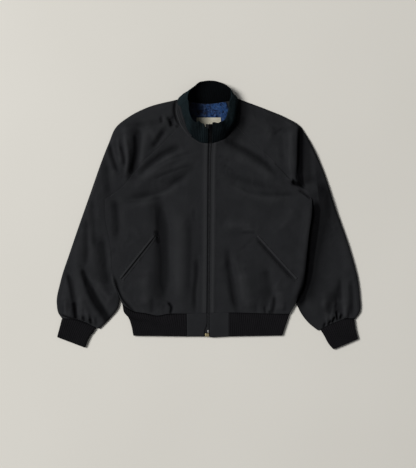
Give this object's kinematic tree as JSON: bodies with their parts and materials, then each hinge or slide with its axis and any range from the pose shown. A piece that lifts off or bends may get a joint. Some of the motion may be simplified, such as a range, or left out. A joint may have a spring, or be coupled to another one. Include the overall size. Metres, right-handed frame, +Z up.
{
  "type": "flight jacket",
  "caption": "Black flight jacket laid flat, with raglan sleeves, rib-knit stand collar, cuffs and hem, diagonal welt pockets and a closed front zip.",
  "frame": {"origin": "on the surface that the jacket lies on, under the middle of its outline", "axes": "+X to the wearer's left (the viewer's right), +Y from the hem to the collar, +Z up, out of the surface"},
  "size_m": [0.8884, 0.7856, 0.0526],
  "materials": {
    "shell": "matte tight cotton twill, black, faintly brushed",
    "rib_knit": "matte rib knit, black with a faint purple cast",
    "collar_knit": "matte rib knit, black with a faint green-blue cast",
    "lining": "smooth lining with a soft sheen, mottled blue",
    "label": "bare cream woven tape",
    "zip_tape": "matte woven tape, black",
    "zip_chain": "dark zip teeth",
    "zip_dark": "dark slider and pull tab, dull",
    "zip_nickel": "nickel-plated zip metal",
    "zip_brass": "dull brass"
  },
  "bodies": {
    "jacket": {"front_left": "shell", "front_right": "shell", "back": "shell", "sleeve_left": "shell", "sleeve_right": "shell", "hem_tab_left": "shell", "hem_tab_right": "shell", "welt_left_upper": "shell", "welt_left_lower": "shell", "welt_right_upper": "shell", "welt_right_lower": "shell", "collar": "collar_knit", "cuff_left": "rib_knit", "cuff_right": "rib_knit", "hem_rib": "rib_knit", "neck_lining": "lining", "neck_label": "label", "zip_tape_left": "zip_tape", "zip_tape_right": "zip_tape", "zip_chain": "zip_chain", "zip_slider": "zip_dark", "zip_box": "zip_brass", "zip_pin": "zip_nickel"},
    "pull_tab": {"zip_pull": "zip_dark"}
  },
  "joints": [
    {"name": "pull_tab_hinge", "type": "hinge", "parent": "jacket", "child": "pull_tab", "pos_m": [0.0052, 0.25516, 0.0392], "axis": [-1, 0, 0], "range_deg": [0, 150]}
  ]
}
